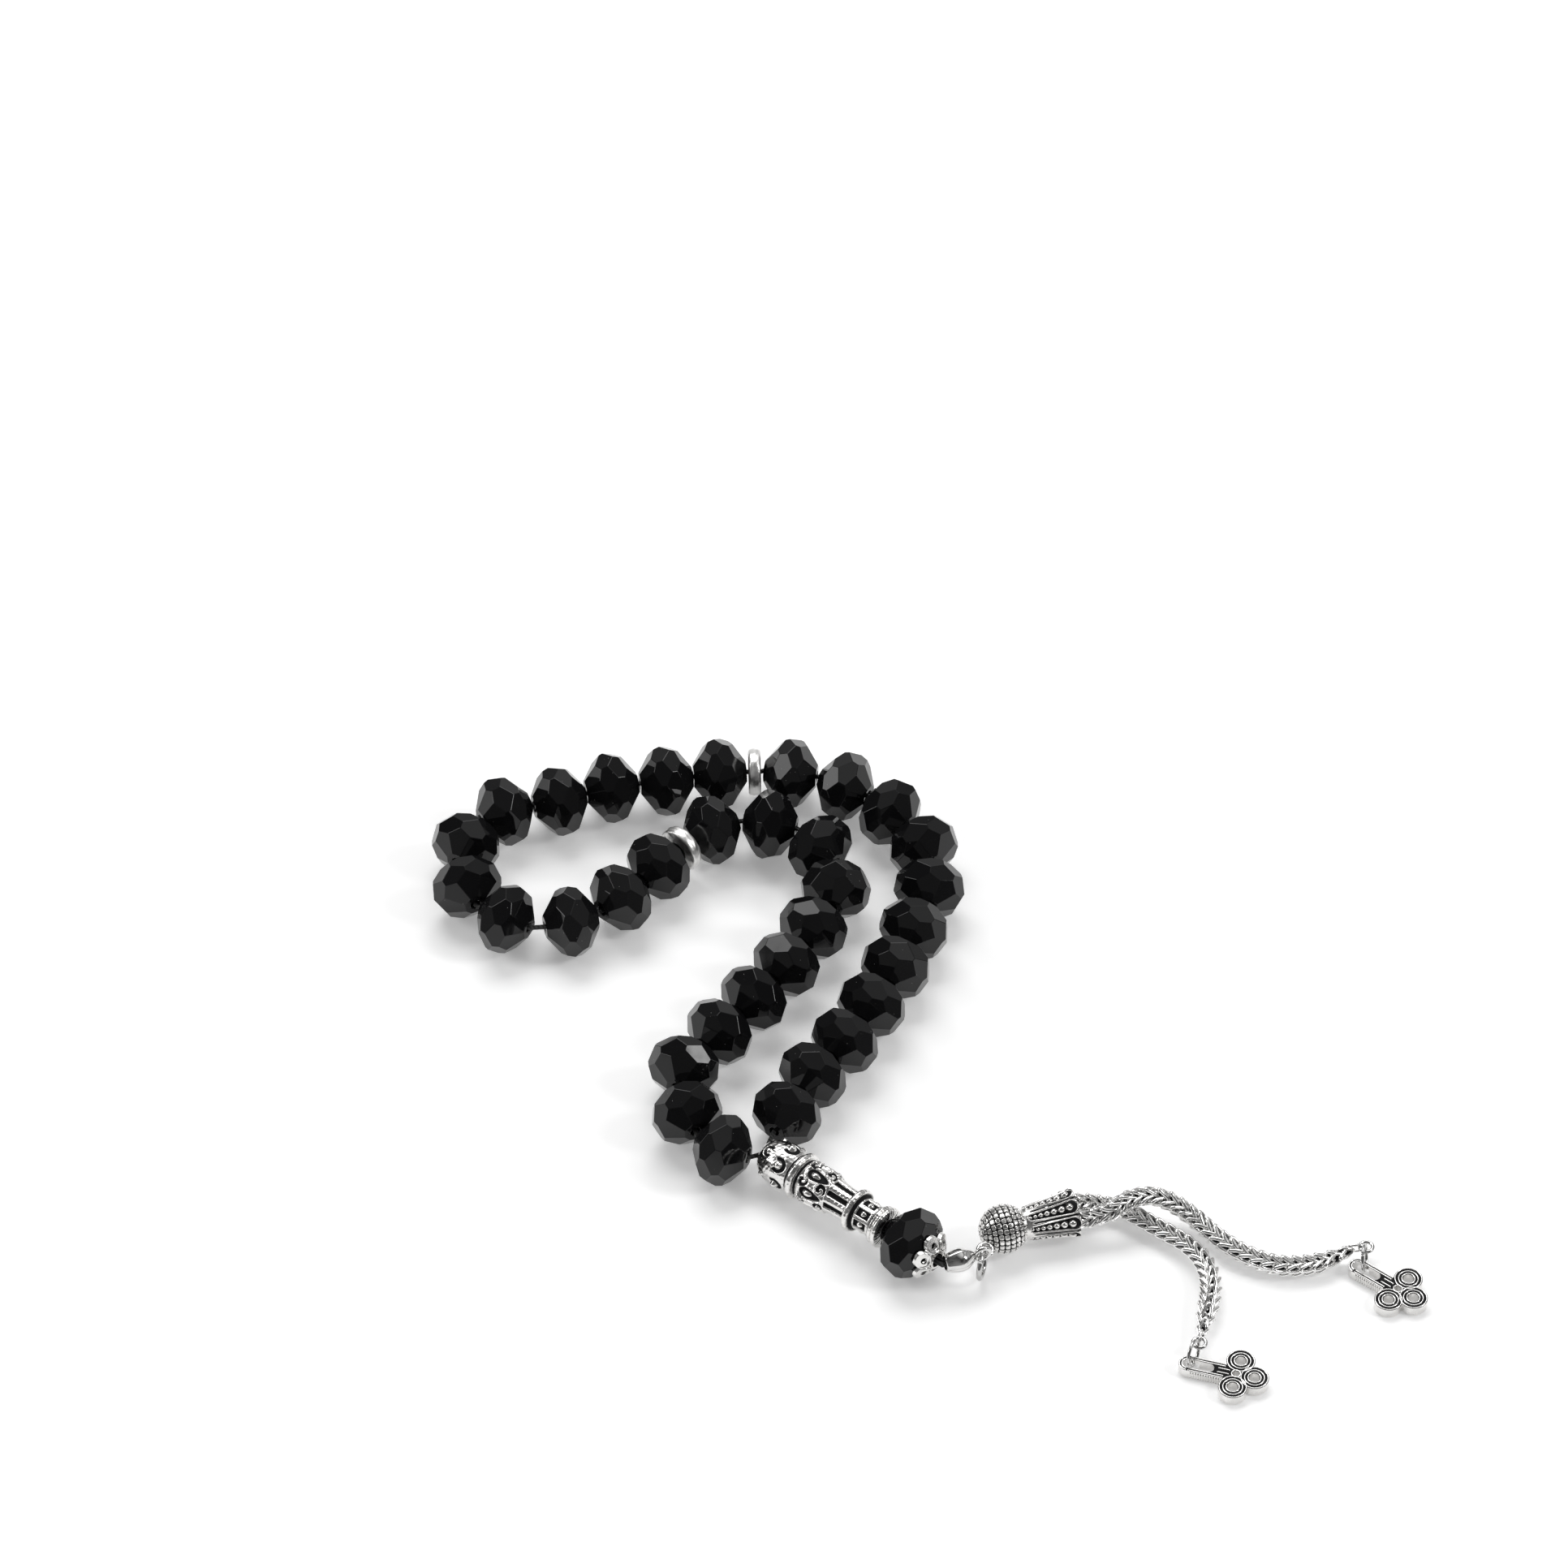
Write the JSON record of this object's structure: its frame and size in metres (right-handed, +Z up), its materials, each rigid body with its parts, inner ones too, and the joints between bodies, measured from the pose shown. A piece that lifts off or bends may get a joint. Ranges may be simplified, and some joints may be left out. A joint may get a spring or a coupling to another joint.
{
  "type": "prayer beads",
  "caption": "Closed string of cut black glass beads with metal dividers, an antique silver leader bead and a tassel of two woven chains with small openwork charms.",
  "frame": {"origin": "under the middle of the string and its fittings, on the table the string lies on", "axes": "+Z up from the table, +X towards the tassel, +Y towards the far side of the loop"},
  "size_m": [0.1405, 0.1208, 0.0104],
  "materials": {
    "black_glass": "polished",
    "antique_silver": "antiqued",
    "bright_wire": "polished",
    "cord": "waxed"
  },
  "bodies": {
    "string": {"cord": "cord", "cord_knot": "cord", "bead_tip": "antique_silver"},
    "bead_01": {"bead_01": "black_glass"},
    "bead_02": {"bead_02": "black_glass"},
    "bead_03": {"bead_03": "black_glass"},
    "bead_04": {"bead_04": "black_glass"},
    "bead_05": {"bead_05": "black_glass"},
    "bead_06": {"bead_06": "black_glass"},
    "bead_07": {"bead_07": "black_glass"},
    "bead_08": {"bead_08": "black_glass"},
    "bead_09": {"bead_09": "black_glass"},
    "bead_10": {"bead_10": "black_glass"},
    "bead_11": {"bead_11": "black_glass"},
    "spacer_1": {"spacer_1": "antique_silver"},
    "bead_12": {"bead_12": "black_glass"},
    "bead_13": {"bead_13": "black_glass"},
    "bead_14": {"bead_14": "black_glass"},
    "bead_15": {"bead_15": "black_glass"},
    "bead_16": {"bead_16": "black_glass"},
    "bead_17": {"bead_17": "black_glass"},
    "bead_18": {"bead_18": "black_glass"},
    "bead_19": {"bead_19": "black_glass"},
    "bead_20": {"bead_20": "black_glass"},
    "bead_21": {"bead_21": "black_glass"},
    "bead_22": {"bead_22": "black_glass"},
    "spacer_2": {"spacer_2": "antique_silver"},
    "bead_23": {"bead_23": "black_glass"},
    "bead_24": {"bead_24": "black_glass"},
    "bead_25": {"bead_25": "black_glass"},
    "bead_26": {"bead_26": "black_glass"},
    "bead_27": {"bead_27": "black_glass"},
    "bead_28": {"bead_28": "black_glass"},
    "bead_29": {"bead_29": "black_glass"},
    "bead_30": {"bead_30": "black_glass"},
    "bead_31": {"bead_31": "black_glass"},
    "bead_32": {"bead_32": "black_glass"},
    "bead_33": {"bead_33": "black_glass"},
    "leader_bead": {"leader_bead": "antique_silver"},
    "neck_bead": {"neck_bead": "black_glass"},
    "bead_cap": {"bead_cap": "antique_silver"},
    "link_ring": {"link_ring": "bright_wire"},
    "tassel": {"tassel_cap": "antique_silver", "chain_pin": "bright_wire", "chain_1": "bright_wire", "chain_2": "bright_wire", "end_link_1": "bright_wire", "end_link_2": "bright_wire"},
    "end_ring_1": {"end_ring_1": "bright_wire"},
    "charm_1": {"charm_1": "antique_silver"},
    "end_ring_2": {"end_ring_2": "bright_wire"},
    "charm_2": {"charm_2": "antique_silver"}
  },
  "joints": [
    {"name": "bead_01_spin", "type": "hinge", "parent": "string", "child": "bead_01", "pos_m": [-0.0036, -0.0287, 0.0052], "axis": [-0.9153, 0.4027, 0], "continuous": true},
    {"name": "bead_02_spin", "type": "hinge", "parent": "string", "child": "bead_02", "pos_m": [-0.00872, -0.02175, 0.0052], "axis": [-0.3353, 0.9421, 0], "continuous": true},
    {"name": "bead_03_spin", "type": "hinge", "parent": "string", "child": "bead_03", "pos_m": [-0.00918, -0.01314, 0.0052], "axis": [0.2322, 0.9727, 0], "continuous": true},
    {"name": "bead_04_spin", "type": "hinge", "parent": "string", "child": "bead_04", "pos_m": [-0.0042, -0.00626, 0.0052], "axis": [0.6299, 0.7767, 0], "continuous": true},
    {"name": "bead_05_spin", "type": "hinge", "parent": "string", "child": "bead_05", "pos_m": [0.00071, 0.00011, 0.0052], "axis": [0.5946, 0.804, 0], "continuous": true},
    {"name": "bead_06_spin", "type": "hinge", "parent": "string", "child": "bead_06", "pos_m": [0.00533, 0.00672, 0.0052], "axis": [0.525, 0.8511, 0], "continuous": true},
    {"name": "bead_07_spin", "type": "hinge", "parent": "string", "child": "bead_07", "pos_m": [0.00918, 0.01382, 0.0052], "axis": [0.4319, 0.9019, 0], "continuous": true},
    {"name": "bead_08_spin", "type": "hinge", "parent": "string", "child": "bead_08", "pos_m": [0.01245, 0.02155, 0.0052], "axis": [0.1345, 0.9909, 0], "continuous": true},
    {"name": "bead_09_spin", "type": "hinge", "parent": "string", "child": "bead_09", "pos_m": [0.01022, 0.02988, 0.0052], "axis": [-0.6194, 0.7851, 0], "continuous": true},
    {"name": "bead_10_spin", "type": "hinge", "parent": "string", "child": "bead_10", "pos_m": [0.00301, 0.03461, 0.0052], "axis": [-0.9825, 0.1862, 0], "continuous": true},
    {"name": "bead_11_spin", "type": "hinge", "parent": "string", "child": "bead_11", "pos_m": [-0.0055, 0.0335, 0.0052], "axis": [-0.9109, -0.4126, 0], "continuous": true},
    {"name": "spacer_1_spin", "type": "hinge", "parent": "string", "child": "spacer_1", "pos_m": [-0.00996, 0.02977, 0.0052], "axis": [-0.6656, -0.7463, 0], "continuous": true},
    {"name": "bead_12_spin", "type": "hinge", "parent": "string", "child": "bead_12", "pos_m": [-0.0133, 0.02602, 0.0052], "axis": [-0.6333, -0.7739, 0], "continuous": true},
    {"name": "bead_13_spin", "type": "hinge", "parent": "string", "child": "bead_13", "pos_m": [-0.01864, 0.01988, 0.0052], "axis": [-0.7131, -0.7011, 0], "continuous": true},
    {"name": "bead_14_spin", "type": "hinge", "parent": "string", "child": "bead_14", "pos_m": [-0.02576, 0.01509, 0.0052], "axis": [-0.9638, -0.2666, 0], "continuous": true},
    {"name": "bead_15_spin", "type": "hinge", "parent": "string", "child": "bead_15", "pos_m": [-0.03512, 0.01574, 0.0052], "axis": [-0.8739, 0.4862, 0], "continuous": true},
    {"name": "bead_16_spin", "type": "hinge", "parent": "string", "child": "bead_16", "pos_m": [-0.04097, 0.02204, 0.0052], "axis": [-0.3575, 0.9339, 0], "continuous": true},
    {"name": "bead_17_spin", "type": "hinge", "parent": "string", "child": "bead_17", "pos_m": [-0.04131, 0.03064, 0.0052], "axis": [0.3207, 0.9472, 0], "continuous": true},
    {"name": "bead_18_spin", "type": "hinge", "parent": "string", "child": "bead_18", "pos_m": [-0.03592, 0.03736, 0.0052], "axis": [0.8786, 0.4776, 0], "continuous": true},
    {"name": "bead_19_spin", "type": "hinge", "parent": "string", "child": "bead_19", "pos_m": [-0.02794, 0.03935, 0.0052], "axis": [0.9435, 0.3313, 0], "continuous": true},
    {"name": "bead_20_spin", "type": "hinge", "parent": "string", "child": "bead_20", "pos_m": [-0.02033, 0.04204, 0.0052], "axis": [0.9683, 0.2496, 0], "continuous": true},
    {"name": "bead_21_spin", "type": "hinge", "parent": "string", "child": "bead_21", "pos_m": [-0.01234, 0.04344, 0.0052], "axis": [0.9859, 0.1674, 0], "continuous": true},
    {"name": "bead_22_spin", "type": "hinge", "parent": "string", "child": "bead_22", "pos_m": [-0.00448, 0.0449, 0.0052], "axis": [0.9929, 0.1188, 0], "continuous": true},
    {"name": "spacer_2_spin", "type": "hinge", "parent": "string", "child": "spacer_2", "pos_m": [0.00067, 0.04527, 0.0052], "axis": [0.9995, 0.0323, 0], "continuous": true},
    {"name": "bead_23_spin", "type": "hinge", "parent": "string", "child": "bead_23", "pos_m": [0.006, 0.045, 0.0052], "axis": [0.9865, -0.164, 0], "continuous": true},
    {"name": "bead_24_spin", "type": "hinge", "parent": "string", "child": "bead_24", "pos_m": [0.01397, 0.04229, 0.0052], "axis": [0.8824, -0.4704, 0], "continuous": true},
    {"name": "bead_25_spin", "type": "hinge", "parent": "string", "child": "bead_25", "pos_m": [0.0205, 0.03706, 0.0052], "axis": [0.6759, -0.737, 0], "continuous": true},
    {"name": "bead_26_spin", "type": "hinge", "parent": "string", "child": "bead_26", "pos_m": [0.02528, 0.03011, 0.0052], "axis": [0.3618, -0.9323, 0], "continuous": true},
    {"name": "bead_27_spin", "type": "hinge", "parent": "string", "child": "bead_27", "pos_m": [0.02607, 0.02167, 0.0052], "axis": [-0.098, -0.9952, 0], "continuous": true},
    {"name": "bead_28_spin", "type": "hinge", "parent": "string", "child": "bead_28", "pos_m": [0.02375, 0.01372, 0.0052], "axis": [-0.3422, -0.9396, 0], "continuous": true},
    {"name": "bead_29_spin", "type": "hinge", "parent": "string", "child": "bead_29", "pos_m": [0.02101, 0.00622, 0.0052], "axis": [-0.3773, -0.9261, 0], "continuous": true},
    {"name": "bead_30_spin", "type": "hinge", "parent": "string", "child": "bead_30", "pos_m": [0.01748, -0.0011, 0.0052], "axis": [-0.4713, -0.882, 0], "continuous": true},
    {"name": "bead_31_spin", "type": "hinge", "parent": "string", "child": "bead_31", "pos_m": [0.01355, -0.00812, 0.0052], "axis": [-0.5204, -0.8539, 0], "continuous": true},
    {"name": "bead_32_spin", "type": "hinge", "parent": "string", "child": "bead_32", "pos_m": [0.009, -0.0147, 0.0052], "axis": [-0.5435, -0.8394, 0], "continuous": true},
    {"name": "bead_33_spin", "type": "hinge", "parent": "string", "child": "bead_33", "pos_m": [0.0053, -0.0219, 0.0052], "axis": [-0.4441, -0.896, 0], "continuous": true},
    {"name": "leader_bead_spin", "type": "hinge", "parent": "string", "child": "leader_bead", "pos_m": [0.01092, -0.03581, 0.00445], "axis": [0.7541, -0.6555, 0.0401], "continuous": true},
    {"name": "neck_bead_spin", "type": "hinge", "parent": "string", "child": "neck_bead", "pos_m": [0.02265, -0.046, 0.0052], "axis": [0.7547, -0.6561, 0], "continuous": true},
    {"name": "bead_cap_spin", "type": "hinge", "parent": "string", "child": "bead_cap", "pos_m": [0.02265, -0.046, 0.0052], "axis": [0.7547, -0.6561, 0], "continuous": true},
    {"name": "link_ring_turn", "type": "hinge", "parent": "string", "child": "link_ring", "pos_m": [0.03249, -0.04781, 0.003], "axis": [0.9703, -0.2419, 0], "continuous": true},
    {"name": "tassel_swing", "type": "hinge", "parent": "string", "child": "tassel", "pos_m": [0.03297, -0.04587, 0.00365], "axis": [0, 0, 1], "range_deg": [-30, 60]},
    {"name": "end_ring_1_turn", "type": "hinge", "parent": "tassel", "child": "end_ring_1", "pos_m": [0.08563, -0.04603, 0.00211], "axis": [-0.9752, 0.172, -0.1392], "continuous": true},
    {"name": "charm_1_swing", "type": "hinge", "parent": "tassel", "child": "charm_1", "pos_m": [0.0857, -0.0464, 0.00075], "axis": [0, 0, 1], "range_deg": [-15, 15]},
    {"name": "end_ring_2_turn", "type": "hinge", "parent": "tassel", "child": "end_ring_2", "pos_m": [0.06123, -0.06323, 0.00211], "axis": [-0.8975, 0.4185, -0.1392], "continuous": true},
    {"name": "charm_2_swing", "type": "hinge", "parent": "tassel", "child": "charm_2", "pos_m": [0.0612, -0.0636, 0.00075], "axis": [0, 0, 1], "range_deg": [-15, 15]}
  ]
}
